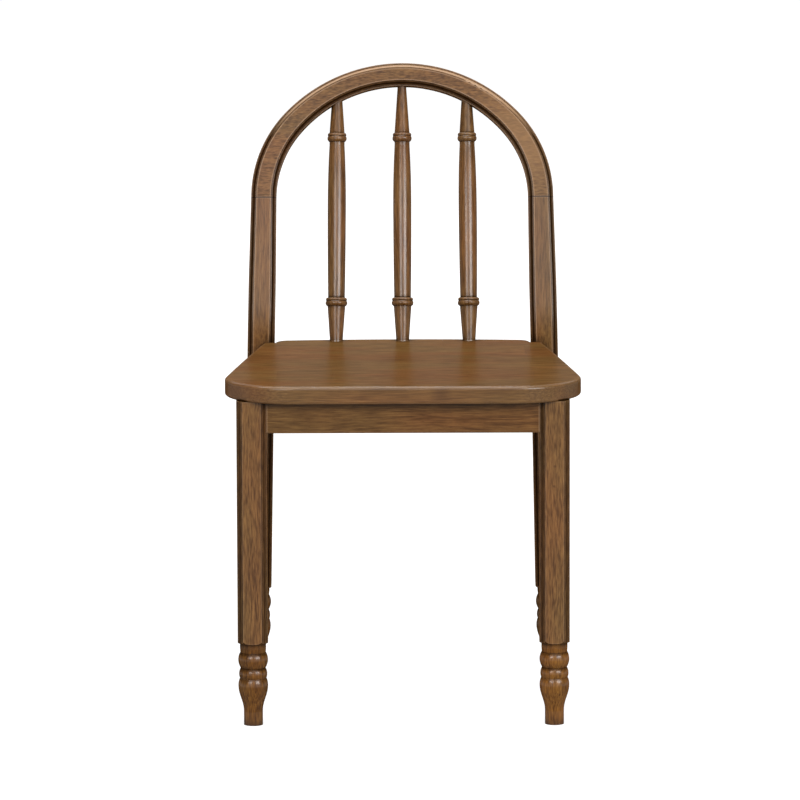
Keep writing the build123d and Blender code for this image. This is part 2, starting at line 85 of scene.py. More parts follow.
class NodeGraph:
    """A node tree with short ways to add and join nodes."""

    def __init__(self, tree: bpy.types.NodeTree) -> None:
        """Empties the tree.

        Args:
            tree: The tree of a material or of the world.
        """
        self.tree = tree
        self.tree.nodes.clear()

    def feed(self, socket: Socket, value: object) -> None:
        """Joins a socket to another, or sets its value.

        Args:
            socket: The input to set.
            value: An output socket, or a plain value.
        """
        if isinstance(value, bpy.types.NodeSocket):
            self.tree.links.new(value, socket)
        else:
            socket.default_value = value

    def add(self, kind: str, inputs: dict | None = None, **settings: object) -> bpy.types.Node:
        """Adds a node.

        Args:
            kind: The node's type name.
            inputs: Values or sockets by input name or index.
            **settings: Properties of the node.

        Returns:
            The new node.
        """
        node = self.tree.nodes.new(kind)
        for key, value in settings.items():
            setattr(node, key, value)
        for key, value in (inputs or {}).items():
            self.feed(node.inputs[key], value)
        return node

    def maths(self, operation: str, first: object, second: object = 0.0) -> Socket:
        """A sum of two numbers.

        Args:
            operation: The kind of sum.
            first: Number or socket.
            second: Number or socket.

        Returns:
            The result's socket.
        """
        return self.add("ShaderNodeMath", {0: first, 1: second}, operation=operation).outputs[0]

    def vector_maths(self, operation: str, first: object, second: object) -> bpy.types.Node:
        """A sum of two vectors.

        Args:
            operation: The kind of sum.
            first: Vector or socket.
            second: Vector or socket.

        Returns:
            The node, whose outputs are a vector and a number.
        """
        return self.add("ShaderNodeVectorMath", {0: first, 1: second}, operation=operation)

    def span(self, value: object, low: float, high: float, to_low: float, to_high: float) -> Socket:
        """Maps one range of numbers onto another, held at its ends.

        Args:
            value: Number or socket.
            low: Start of the range that is read.
            high: End of the range that is read.
            to_low: What the start becomes.
            to_high: What the end becomes.

        Returns:
            The result's socket.
        """
        inputs = {"Value": value, "From Min": low, "From Max": high, "To Min": to_low, "To Max": to_high}
        return self.add("ShaderNodeMapRange", inputs, clamp=True).outputs["Result"]

    def blend(self, share: object, first: object, second: object, kind: str = "MIX") -> Socket:
        """Blends two colours.

        Args:
            share: Number or socket, 0 for the first colour.
            first: Colour or socket.
            second: Colour or socket.
            kind: The way of blending.

        Returns:
            The colour's socket.
        """
        node = self.add("ShaderNodeMix", data_type="RGBA", blend_type=kind)
        colours = [socket for socket in node.inputs if socket.type == "RGBA"]
        for socket, value in zip([node.inputs[0], *colours], (share, first, second)):
            plain = isinstance(value, tuple)
            self.feed(socket, (*value, 1.0) if plain else value)
        return next(socket for socket in node.outputs if socket.type == "RGBA")

    def noise(self, place: Socket, stretch: Triple, detail: float, roughness: float = 0.5) -> Socket:
        """Cloudy noise, drawn out by a stretch.

        Args:
            place: Socket with the place in millimetres.
            stretch: Cells per millimetre, along and across.
            detail: Octaves of finer cloud.
            roughness: Weight of the finer cloud.

        Returns:
            Socket with numbers around a half.
        """
        drawn = self.vector_maths("MULTIPLY", place, stretch).outputs[0]
        inputs = {"Vector": drawn, "Scale": 1.0, "Detail": detail, "Roughness": roughness}
        return self.add("ShaderNodeTexNoise", inputs).outputs["Fac"]

    def weighed(self, parts: list[tuple[Socket, float]]) -> Socket:
        """Adds up noises by weight, so that their middle stays at a half.

        Args:
            parts: Each noise with its weight.

        Returns:
            The sum's socket.
        """
        total: object = 0.5 - 0.5 * sum(weight for _, weight in parts)
        for value, weight in parts:
            inputs = {0: value, 1: weight, 2: total}
            total = self.add("ShaderNodeMath", inputs, operation="MULTIPLY_ADD").outputs[0]
        return total

    def place(self) -> Socket:
        """The place on the piece, in metres."""
        return self.add("ShaderNodeTexCoord").outputs["Object"]

    def grain_place(self, grain: Grain, rake: float, seed: float) -> Socket:
        """The place in millimetres with X along the fibres, gently bent as a tree grows.

        Args:
            grain: The way the fibres run.
            rake: Lean of the piece in degrees.
            seed: Number that sets this piece apart from the others.

        Returns:
            The place's socket.
        """
        offset = (seed * 0.37, seed * 0.211, seed * 0.153)
        inputs = {
            "Vector": self.place(),
            "Location": offset,
            "Rotation": grain.turn(rake),
            "Scale": (MM, MM, MM),
        }
        straight = self.add("ShaderNodeMapping", inputs, vector_type="TEXTURE").outputs[0]
        drawn = self.vector_maths("MULTIPLY", straight, (0.006, 0.018, 0.018)).outputs[0]
        cloud = {"Vector": drawn, "Scale": 1.0, "Detail": 1.0}
        drift = self.add("ShaderNodeTexNoise", cloud).outputs["Color"]
        centred = self.vector_maths("SUBTRACT", drift, (0.5, 0.5, 0.5)).outputs[0]
        bend = self.vector_maths("MULTIPLY", centred, (0.0, 9.0, 9.0)).outputs[0]
        return self.vector_maths("ADD", straight, bend).outputs[0]

    def openness(self, distance: float, samples: int = 6, **settings: bool) -> Socket:
        """How open the surface lies, from what is near it.

        Args:
            distance: How far away a thing still counts, in metres.
            samples: Rays that look for it.
            **settings: Whether only the piece itself counts, and whether the rays look inside it.

        Returns:
            Socket that is 1 where nothing is near.
        """
        inputs = {"Distance": distance}
        return self.add("ShaderNodeAmbientOcclusion", inputs, samples=samples, **settings).outputs["AO"]

    def upward(self) -> Socket:
        """How far the surface faces up, 1 on a level top."""
        normal = self.add("ShaderNodeNewGeometry").outputs["Normal"]
        return self.add("ShaderNodeSeparateXYZ", {0: normal}).outputs["Z"]

    def surface(self, inputs: dict) -> None:
        """Adds the shader and the output that carries it.

        Args:
            inputs: Values or sockets by input name.
        """
        shader = self.add("ShaderNodeBsdfPrincipled", inputs)
        self.add("ShaderNodeOutputMaterial", {"Surface": shader.outputs[0]})


def up_along(rake: float) -> Vector:
    """The way up along a piece that leans back.

    Args:
        rake: Lean of the piece in degrees.

    Returns:
        The direction.
    """
    lean = math.radians(rake)
    return Vector((0.0, math.sin(lean), math.cos(lean)))


def new_material(name: str) -> tuple[bpy.types.Material, NodeGraph]:
    """Starts a material.

    Args:
        name: Its name.

    Returns:
        The material and its empty graph.
    """
    material = bpy.data.materials.new(name)
    material.use_nodes = True
    return material, NodeGraph(material.node_tree)


@dataclass(frozen=True)
class Lacquer:
    """The clear satin film on the stained wood."""

    weight: float = 0.6
    roughness: float = 0.28
    specular: float = 0.0
    grazing: float = 0.0


@dataclass(frozen=True)
class Mark:
    """A spot of another colour on the wood, such as a pin knot, and the paler patch of painted highlight
    on the hoop.
    """

    place: Triple
    radius: float
    strength: float
    colour: Triple = (0.039, 0.015, 0.005)


@dataclass(frozen=True)
class Staves:
    """The glued blocks of a panel: their size, how far their pattern is moved, and their tints."""

    length: float = 150.0 * MM
    width: float = 50.0 * MM
    shift: Triple = (-0.037, 0.1774, 0.0)
    seam_width: float = 0.1 * MM
    darker: Triple = (0.92, 0.90, 0.89)
    paler: Triple = (1.06, 1.06, 1.05)
    seam: Triple = (0.88, 0.85, 0.83)


@dataclass(frozen=True)
class WipedHighlitRim:
    """The top of the hoop's outer moulding, lightened beyond an ellipse along the hoop: a painted
    highlight, partly wiped clean of stain.
    """

    level: float
    half_width: float
    rise: float
    start: float


@dataclass(frozen=True)
class StainedWood:
    """Fine-pored wood with a walnut stain under satin lacquer, its grain running one way."""

    name: str
    grain: Grain
    seed: float
    rake: float = 0.0
    splay: float | None = None
    tone: float = 1.0
    red: float = 0.5
    porosity: float = 0.4
    figure: float = 0.6
    staves: Staves | None = None
    glue_height: float | None = None
    turned_below: float | None = None
    # Strength of the painted shade, with glazing stain, in the steps and grooves.
    shade_and_glaze: float = 0.85
    # Strength of the darkening on the rounded moulding, painted shade with glazing stain.
    moulded: float = 0.0
    hollow: float = 0.0
    arris: float = 1.5 * MM
    # Strength of the lighter arrises, abraded stain and painted highlight.
    wear_and_highlight: float = 0.9
    fleck_rate: float = 0.05
    fleck_weight: float = 1.9
    rim: WipedHighlitRim | None = None
    marks: tuple[Mark, ...] = ()
    lacquer: Lacquer = Lacquer()

    dark: Triple = (0.060, 0.0245, 0.0066)
    light: Triple = (0.208, 0.101, 0.034)
    vessel: Triple = (0.039, 0.015, 0.005)
    reddish: Triple = (1.06, 0.94, 0.86)
    olive: Triple = (0.96, 1.03, 0.97)
    # Near-black for the painted shade in steps, grooves and joints, with the glazing stain there, and for
    # the glue line.
    recess: Triple = (0.010, 0.004, 0.0015)
    foot_tint: Triple = (0.95, 0.83, 0.50)
    # Pale colour of the lighter arrises, abraded stain and painted highlight.
    wear_and_highlight_colour: Triple = (0.40, 0.25, 0.145)

    pith: Triple = (0.0, 63.0, 41.0)
    ring_width: float = 6.5
    step_reach: float = 3.0 * MM
    # Reach of the painted shade near other parts.
    joint_reach: float = 10.0 * MM
    foot_blend: float = 1.0 * MM
    glue_core: float = 0.35 * MM
    glue_edge: float = 0.9 * MM
    eased_edge: float = 0.5 * MM
    relief_depth: float = 0.05 * MM

    def material(self) -> bpy.types.Material:
        """Builds the finish.

        Returns:
            The material.
        """
        material, graph = new_material(self.name)
        wood = graph.grain_place(self.grain, self.rake, self.seed)
        pores = self.pores(graph, wood)
        fibre = graph.noise(wood, (0.045, 2.0, 2.0), 2.0)
        colour = self.stain(graph, wood, pores, fibre)
        colour = self.local_marks(graph, colour)
        shade_and_glaze = self.shade_and_glaze_share(graph)
        colour = self.shade_and_wear(graph, colour, shade_and_glaze)
        self.shader(graph, colour, shade_and_glaze, wood, pores, fibre)
        return material

    def pores(self, graph: NodeGraph, wood: Socket) -> Socket:
        """Short dark vessels along the grain.

        Args:
            graph: The material's graph.
            wood: The place along the fibres.

        Returns:
            Socket that is 1 inside a pore.
        """
        fine = graph.span(graph.noise(wood, (0.20, 2.6, 2.6), 1.0), 0.60, 0.68, 0.0, 1.0)
        bold = graph.span(graph.noise(wood, (0.08, 0.80, 0.80), 2.0, 0.6), 0.57, 0.70, 0.0, 0.9)
        return graph.maths("MAXIMUM", fine, bold)

    def stain(self, graph: NodeGraph, wood: Socket, pores: Socket, fibre: Socket) -> Socket:
        """The stain's colour: streaks, blotches, growth rings, red and olive clouds and pores.

        Args:
            graph: The material's graph.
            wood: The place along the fibres.
            pores: The pores' mask.
            fibre: Fine streaks.

        Returns:
            The colour's socket.
        """
        streak = graph.noise(wood, (0.016, 0.36, 0.36), 3.0, 0.6)
        blotch = graph.noise(wood, (0.030, 0.075, 0.075), 3.0, 0.6)
        pith = graph.vector_maths("ADD", wood, self.pith).outputs[0]
        flat = graph.vector_maths("MULTIPLY", pith, (0.0, 1.0, 1.0)).outputs[0]
        radius = graph.add("ShaderNodeVectorMath", {0: flat}, operation="LENGTH").outputs["Value"]
        ring = graph.maths("FRACT", graph.maths("DIVIDE", radius, self.ring_width))
        fleck = graph.noise(wood, (self.fleck_rate, 0.8, 0.8), 1.5)
        large = [(streak, self.figure), (blotch, self.figure), (ring, 0.12 * self.figure)]
        share = graph.weighed([(fleck, self.fleck_weight), *large, (fibre, 0.7)])
        share = graph.span(share, 0.0, 1.0, 0.0, 1.0)
        colour = graph.blend(share, self.dark, self.light)
        cloud = graph.noise(wood, (0.009, 0.030, 0.030), 1.0)
        hue = graph.span(cloud, 0.35, 0.65, self.red - 0.45, self.red + 0.45)
        colour = graph.blend(1.0, colour, graph.blend(hue, self.olive, self.reddish), "MULTIPLY")
        colour = graph.blend(graph.maths("MULTIPLY", pores, self.porosity), colour, self.vessel)
        return graph.blend(1.0, colour, (self.tone, self.tone, self.tone), "MULTIPLY")

    def local_marks(self, graph: NodeGraph, colour: Socket) -> Socket:
        """Adds what sits at one place: glued staves, spots and the turned foot.

        Args:
            graph: The material's graph.
            colour: The colour so far.

        Returns:
            The colour's socket.
        """
        place = graph.place()
        if self.staves:
            colour = graph.blend(1.0, colour, self.stave_tone(graph, place), "MULTIPLY")
        for mark in self.marks:
            gap = graph.vector_maths("DISTANCE", place, mark.place).outputs["Value"]
            share = graph.span(gap, 0.25 * mark.radius, mark.radius, mark.strength, 0.0)
            colour = graph.blend(share, colour, mark.colour)
        if self.turned_below is not None:
            # The foot is tinted darker and more saturated than the leg; on the right front leg paler and
            # more saturated.
            colour = graph.blend(self.turned_share(graph), colour, self.foot_tint, "MULTIPLY")
        return colour

    def stave_tone(self, graph: NodeGraph, place: Socket) -> Socket:
        """Slight differences between the glued blocks of a panel.

        Args:
            graph: The material's graph.
            place: Object coordinates.

        Returns:
            The tint's socket.
        """
        shifted = graph.vector_maths("ADD", place, self.staves.shift).outputs[0]
        inputs = {
            "Vector": shifted,
            "Color1": (*self.staves.darker, 1.0),
            "Color2": (*self.staves.paler, 1.0),
            "Mortar": (*self.staves.seam, 1.0),
            "Scale": 1.0,
            "Mortar Size": self.staves.seam_width,
            "Mortar Smooth": 0.6,
            "Bias": 0.0,
            "Brick Width": self.staves.length,
            "Row Height": self.staves.width,
        }
        return graph.add("ShaderNodeTexBrick", inputs, offset=0.5).outputs["Color"]

    def turned_share(self, graph: NodeGraph) -> Socket:
        """The turned foot, whose colour is tinted apart from the square leg above.

        Args:
            graph: The material's graph.

        Returns:
            Socket that is 1 on the foot.
        """
        height = graph.add("ShaderNodeSeparateXYZ", {0: graph.place()}).outputs["Z"]
        low, high = self.turned_below - self.foot_blend, self.turned_below + self.foot_blend
        return graph.span(height, low, high, 1.0, 0.0)

    def glue_line(self, graph: NodeGraph) -> Socket:
        """The thin dark line of the butt joint between post and hoop.

        Args:
            graph: The material's graph.

        Returns:
            Socket that is 1 on the line.
        """
        gap = graph.maths("ABSOLUTE", graph.maths("SUBTRACT", self.level(graph), self.glue_height))
        return graph.span(gap, self.glue_core, self.glue_edge, 0.85, 0.0)

    def level(self, graph: NodeGraph) -> Socket:
        """Height along the lean of the piece.

        Args:
            graph: The material's graph.

        Returns:
            The height's socket.
        """
        return graph.vector_maths("DOT_PRODUCT", graph.place(), up_along(self.rake)).outputs["Value"]

    def shade_and_glaze_share(self, graph: NodeGraph) -> Socket:
        """Where the colour darkens, as painted shade with glazing stain: in steps and grooves, and on the
        rounded moulding between them.

        Args:
            graph: The material's graph.

        Returns:
            Socket with the share of glaze.
        """
        # Painted shade: the steps go near-black by local ambient occlusion, with glazing stain there too.
        steps = graph.openness(self.step_reach, only_local=True)
        share = graph.span(steps, 0.86, 0.98, self.shade_and_glaze, 0.0)
        if self.hollow:
            share = graph.maths("MAXIMUM", share, self.hollow_share(graph))
        # Painted shade with glazing stain: the rounded moulding, turned away from the front, is darkened.
        if self.moulded:
            rounded = graph.maths("MULTIPLY", self.rounded_share(graph), self.moulded)
            share = graph.maths("MAXIMUM", share, rounded)
        # Painted highlight: the hoop's outer rim keeps little of the darkening.
        if self.rim:
            kept = graph.span(self.rim_share(graph), 0.0, 1.0, 1.0, 0.15)
            share = graph.maths("MULTIPLY", share, kept)
        return share

    def rounded_share(self, graph: NodeGraph) -> Socket:
        """The rounded moulding along the edges, which faces neither forwards nor sideways.

        Args:
            graph: The material's graph.

        Returns:
            Socket that is 1 on the moulding.
        """
        facing = self.facing(graph, self.rake)
        if self.splay is not None:
            facing = graph.maths("MAXIMUM", facing, self.facing(graph, self.splay))
        rounded = graph.span(facing, 0.40, 0.62, 0.0, 1.0)
        rounded = graph.maths("MULTIPLY", rounded, graph.span(facing, 0.90, 0.985, 1.0, 0.0))
        if self.turned_below is None:
            return rounded
        square = graph.span(self.turned_share(graph), 0.0, 1.0, 1.0, 0.0)
        return graph.maths("MULTIPLY", rounded, square)

    def facing(self, graph: NodeGraph, rake: float) -> Socket:
        """How squarely the surface faces forwards or backwards.

        Args:
            graph: The material's graph.
            rake: Lean of that part of the piece, in degrees.

        Returns:
            Socket that is 1 on the front and the back.
        """
        lean = math.radians(rake)
        normal = graph.add("ShaderNodeNewGeometry").outputs["Normal"]
        forward = graph.vector_maths("DOT_PRODUCT", normal, (0.0, -math.cos(lean), math.sin(lean)))
        return graph.maths("ABSOLUTE", forward.outputs["Value"])

    def rim_share(self, graph: NodeGraph) -> Socket:
        """The outer half of the hoop, near its top.

        Args:
            graph: The material's graph.

        Returns:
            Socket that is 1 there.
        """
        height = graph.maths("SUBTRACT", self.level(graph), self.rim.level)
        across = graph.add("ShaderNodeSeparateXYZ", {0: graph.place()}).outputs["X"]
        wide = graph.maths("DIVIDE", graph.maths("ABSOLUTE", across), self.rim.half_width)
        high = graph.maths("DIVIDE", graph.maths("ABSOLUTE", height), self.rim.rise)
        ellipse = graph.maths("ADD", graph.maths("POWER", wide, 2.0), graph.maths("POWER", high, 2.0))
        outer = graph.span(ellipse, 1.0, 1.06, 0.0, 1.0)
        upper = graph.span(height, self.rim.start, 1.6 * self.rim.start, 0.0, 1.0)
        return graph.maths("MULTIPLY", outer, upper)

    def hollow_share(self, graph: NodeGraph) -> Socket:
        """Painted shade with glazing stain in the wide hollows of turned work, and painted shadow on the
        foot's upward shoulders, which the seat shades from above.

        Args:
            graph: The material's graph.

        Returns:
            Socket with the share of glaze.
        """
        share = graph.span(graph.openness(self.hollow, only_local=True), 0.72, 0.97, 0.95, 0.0)
        if self.turned_below is None:
            return share
        # Painted shadow: the upward shoulders of the foot's bulbs, under the seat, go dark.
        share = graph.maths("MAXIMUM", share, graph.span(graph.upward(), 0.27, 0.5, 0.0, 0.8))
        return graph.maths("MULTIPLY", share, self.turned_share(graph))

    def shade_and_wear(self, graph: NodeGraph, colour: Socket, shade_and_glaze: Socket) -> Socket:
        """Darkens grooves and joints, partly as gathered stain and partly as painted shade, and lightens
        the arrises, partly as abraded stain and partly as painted highlight.

        Args:
            graph: The material's graph.
            colour: The colour so far.
            shade_and_glaze: The share of painted shade and glazing stain.

        Returns:
            The colour's socket.
        """
        colour = graph.blend(shade_and_glaze, colour, self.recess)
        # Painted shade: darker near other parts, where their contact shadow falls, with some stain
        # gathered there.
        joint = graph.openness(self.joint_reach)
        colour = graph.blend(graph.span(joint, 0.5, 0.92, 0.7, 0.0), colour, self.recess)
        # Painted highlight with abraded stain: the arrises go lighter, more on faces turned up and less in
        # the dark grooves and joints.
        edge = graph.openness(self.arris, 4, only_local=True, inside=True)
        arris_lightening = graph.span(edge, 0.5, 0.92, self.wear_and_highlight, 0.0)
        for share in (
            graph.span(graph.upward(), -0.2, 0.8, 0.6, 1.0),
            graph.span(shade_and_glaze, 0.0, 0.5, 1.0, 0.0),
            graph.span(joint, 0.55, 0.8, 0.0, 1.0),
        ):
            arris_lightening = graph.maths("MULTIPLY", arris_lightening, share)
        # Painted highlight: the hoop's outer rim goes pale.
        if self.rim:
            rim_lightening = graph.maths("MULTIPLY", self.rim_share(graph), self.rounded_share(graph))
            arris_lightening = graph.maths("MAXIMUM", arris_lightening, graph.maths("MULTIPLY", rim_lightening, 0.9))
        colour = graph.blend(arris_lightening, colour, self.wear_and_highlight_colour)
        if self.glue_height is not None:
            colour = graph.blend(self.glue_line(graph), colour, self.recess)
        return colour

    def shader(
        self, graph: NodeGraph, colour: Socket, shade_and_glaze: Socket, wood: Socket, pores: Socket, fibre: Socket
    ) -> None:
        """Joins colour, gloss and fine relief to the surface.

        Args:
            graph: The material's graph.
            colour: The stain's colour.
            shade_and_glaze: The share of painted shade and glazing stain, which takes the gloss away.
            wood: The place along the fibres.
            pores: The pores' mask.
            fibre: Fine streaks.
        """
        sheen = graph.noise(wood, (0.02, 0.08, 0.08), 2.0)
        relief = graph.maths("SUBTRACT", graph.maths("MULTIPLY", fibre, 0.3), pores)
        eased = graph.add("ShaderNodeBevel", {"Radius": self.eased_edge}, samples=4).outputs[0]
        bump = {"Distance": self.relief_depth, "Height": relief, "Normal": eased}
        slant = graph.add("ShaderNodeLayerWeight", {"Blend": 0.5}).outputs["Facing"]
        film = graph.span(shade_and_glaze, 0.0, 0.9, 1.0, 0.0)
        film = graph.maths("MULTIPLY", film, graph.span(slant, 0.3, 0.75, 1.0, self.lacquer.grazing))
        film = graph.maths("MULTIPLY", film, graph.span(graph.upward(), -0.05, 0.12, 0.3, 1.0))
        inputs = {
            "Base Color": colour,
            "Roughness": graph.span(sheen, 0.3, 0.7, 0.42, 0.56),
            "Specular IOR Level": self.lacquer.specular,
            "Coat Weight": graph.maths("MULTIPLY", film, self.lacquer.weight),
            "Coat Roughness": self.lacquer.roughness,
            "Normal": graph.add("ShaderNodeBump", {"Strength": 0.25, **bump}).outputs[0],
            "Coat Normal": graph.add("ShaderNodeBump", {"Strength": 0.10, **bump}).outputs[0],
        }
        graph.surface(inputs)


@dataclass(frozen=True)
class RawWood:
    """Bare planed wood, pale and matt, darker within a few millimetres of other parts."""

    name: str
    grain: Grain
    seed: float
    rake: float = 0.0
    dark: Triple = (0.40, 0.23, 0.105)
    light: Triple = (0.60, 0.39, 0.20)
    vessel: Triple = (0.24, 0.12, 0.05)

    def material(self) -> bpy.types.Material:
        """Builds the finish.

        Returns:
            The material.
        """
        material, graph = new_material(self.name)
        wood = graph.grain_place(self.grain, self.rake, self.seed)
        fibre = graph.noise(wood, (0.05, 1.8, 1.8), 3.0)
        streak = graph.noise(wood, (0.016, 0.30, 0.30), 3.0, 0.6)
        blotch = graph.noise(wood, (0.030, 0.08, 0.08), 2.0)
        pores = graph.span(graph.noise(wood, (0.10, 1.2, 1.2), 1.0), 0.60, 0.70, 0.0, 1.0)
        share = graph.weighed([(fibre, 0.8), (streak, 1.2), (blotch, 0.8)])
        colour = graph.blend(graph.span(share, 0.0, 1.0, 0.0, 1.0), self.dark, self.light)
        colour = graph.blend(graph.maths("MULTIPLY", pores, 0.5), colour, self.vessel)
        # Darker within a few millimetres of other parts, by ambient occlusion.
        near_darkening = graph.span(graph.openness(5.0 * MM), 0.4, 0.95, 0.6, 0.0)
        colour = graph.blend(near_darkening, colour, self.vessel)
        relief = graph.maths("SUBTRACT", fibre, pores)
        bump = graph.add("ShaderNodeBump", {"Strength": 0.4, "Distance": 0.1 * MM, "Height": relief})
        inputs = {
            "Base Color": colour,
            "Roughness": graph.span(streak, 0.3, 0.7, 0.62, 0.78),
            "Specular IOR Level": 0.25,
            "Normal": bump.outputs[0],
        }
        graph.surface(inputs)
        return material


@dataclass(frozen=True)
class ZincSteel:
    """Bright zinc on steel, clouded by its crystals and faintly blue."""

    name: str
    bright: Triple = (0.72, 0.73, 0.74)
    dull: Triple = (0.42, 0.43, 0.44)
    crevice_dark: Triple = (0.06, 0.06, 0.06)

    def material(self) -> bpy.types.Material:
        """Builds the finish.

        Returns:
            The material.
        """
        material, graph = new_material(self.name)
        place = graph.place()
        cloud = graph.noise(place, (900.0, 900.0, 900.0), 3.0)
        scratch = graph.noise(place, (4000.0, 4000.0, 400.0), 1.0)
        colour = graph.blend(graph.span(cloud, 0.3, 0.7, 0.0, 1.0), self.dull, self.bright)
        # Darker in the cross recess and between the thread turns, by local ambient occlusion.
        deep = graph.span(graph.openness(1.0 * MM, only_local=True), 0.3, 0.9, 0.75, 0.0)
        colour = graph.blend(deep, colour, self.crevice_dark)
        bump = graph.add("ShaderNodeBump", {"Strength": 0.15, "Distance": 0.02 * MM, "Height": scratch})
        inputs = {
            "Base Color": colour,
            "Metallic": 1.0,
            "Roughness": graph.span(scratch, 0.3, 0.7, 0.28, 0.45),
            "Normal": bump.outputs[0],
        }
        graph.surface(inputs)
        return material


class Dressed:
    """A sub-assembly whose solids are right as they are and only take a finish."""

    def finishes(self) -> dict[str, StainedWood | RawWood]:
        """The finish of each piece by its name."""
        return {}

    def build(self) -> None:
        """Gives each piece its finish."""
        for node, finish in self.finishes().items():
            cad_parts[node].material_slots[0].material = finish.material()
            LOG.info("dressed %s", node)


@dataclass
class Seat(Dressed):
    """The plank seat, glued up from staves."""

    heart_patch: Triple = (0.0337, -0.1774, 0.302)
    patch_radius: float = 11 * MM

    def finishes(self) -> dict[str, StainedWood | RawWood]:
        """The finish of the seat."""
        patch = Mark(self.heart_patch, self.patch_radius, strength=0.4)
        wood = StainedWood(
            "seat_wood",
            Grain.ACROSS,
            1.0,
            tone=0.96,
            red=0.4,
            porosity=0.2,
            figure=0.4,
            fleck_weight=1.1,
            # The front arris is lightened strongly, abraded stain and painted highlight.
            arris=2.5 * MM,
            wear_and_highlight=1.0,
            staves=Staves(),
            marks=(patch,),
            lacquer=Lacquer(1.0, grazing=0.06),
        )
        return {"seat_panel": wood}


@dataclass
class SeatFrame(Dressed):
    """The aprons under the seat and the blocks that brace their corners."""

    apron_tone: float = 0.95

    def finishes(self) -> dict[str, StainedWood | RawWood]:
        """The finish of each apron and block."""
        tone = self.apron_tone
        return {
            "front_apron": StainedWood("front_apron_wood", Grain.ACROSS, 2.0, tone=tone, fleck_weight=1.5),
            "rear_apron": StainedWood("rear_apron_wood", Grain.ACROSS, 3.0, tone=tone),
            "right_side_apron": StainedWood("right_side_apron_wood", Grain.FRONT_TO_BACK, 4.0, tone=tone),
            "left_side_apron": StainedWood("left_side_apron_wood", Grain.FRONT_TO_BACK, 5.0, tone=tone),
            "right_front_corner_block": RawWood("right_front_block_wood", Grain.SLANT_RIGHT, 14.0),
            "left_front_corner_block": RawWood("left_front_block_wood", Grain.SLANT_LEFT, 15.0),
            "right_rear_corner_block": RawWood("right_rear_block_wood", Grain.SLANT_LEFT, 16.0),
            "left_rear_corner_block": RawWood("left_rear_block_wood", Grain.SLANT_RIGHT, 17.0),
        }


@dataclass
class FrontLegs(Dressed):
    """The moulded front legs with their turned feet."""

    upper_knot: Triple = (0.1350, -0.1614, 0.2355)
    lower_knot: Triple = (0.1341, -0.1614, 0.2176)
    knot_radius: float = 1.6 * MM
    right_foot_tint: Triple = (1.2, 1.04, 0.64)

    def finishes(self) -> dict[str, StainedWood | RawWood]:
        """The finish of each leg."""
        both = {
            "turned_below": FOOT_HEIGHT,
            "hollow": 11.0 * MM,
            "shade_and_glaze": 0.35,
            "moulded": 0.7,
            "red": 0.4,
            "fleck_rate": 0.1,
            "wear_and_highlight": 0.3,
            "lacquer": Lacquer(0.9),
        }
        places = (self.upper_knot, self.lower_knot)
        knots = tuple(Mark(place, self.knot_radius, strength=0.6) for place in places)
        right = {"tone": 1.05, "marks": knots, "foot_tint": self.right_foot_tint}
        return {
            "right_front_leg": StainedWood("right_front_leg_wood", Grain.UPRIGHT, 6.0, **right, **both),
            "left_front_leg": StainedWood("left_front_leg_wood", Grain.UPRIGHT, 7.0, **both),
        }


